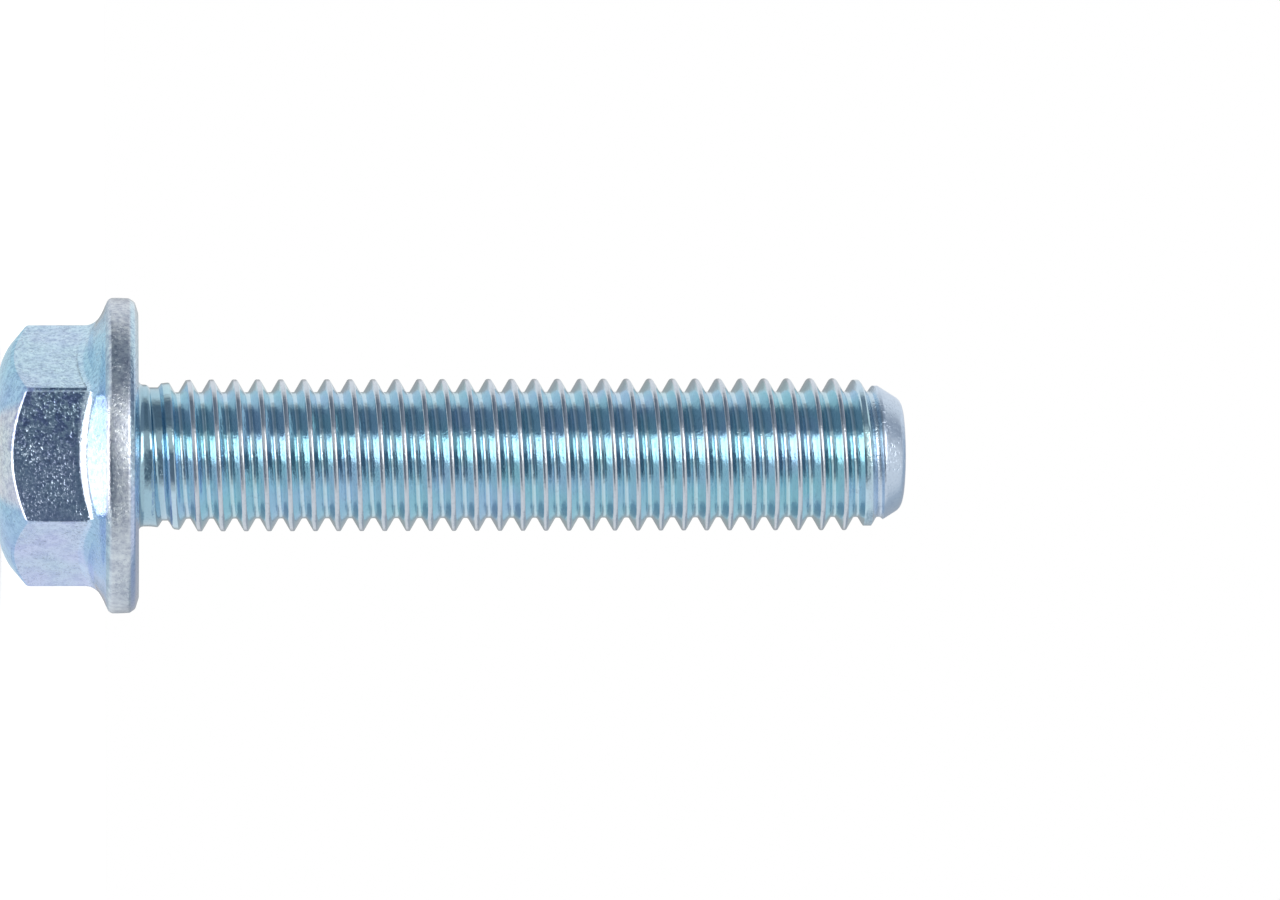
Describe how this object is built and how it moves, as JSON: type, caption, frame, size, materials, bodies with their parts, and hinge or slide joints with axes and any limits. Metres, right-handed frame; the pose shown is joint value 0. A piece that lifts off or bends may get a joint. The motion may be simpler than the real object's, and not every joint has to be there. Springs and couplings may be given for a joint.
{
  "type": "flange bolt",
  "caption": "Hexagon head bolt with a round coned flange under the head and a metric thread up to the neck, in bright zinc-plated steel.",
  "frame": {"origin": "centre of the bearing face under the flange", "axes": "+Z along the shank from the bearing face to the point; a flat of the hexagon faces -Y and two of its corners lie on the X axis"},
  "size_m": [0.0206, 0.0206, 0.0591],
  "materials": {
    "zinc_plate": "bright blue-white zinc plating on steel"
  },
  "bodies": {
    "root": {"flange_bolt": "zinc_plate"}
  },
  "joints": []
}
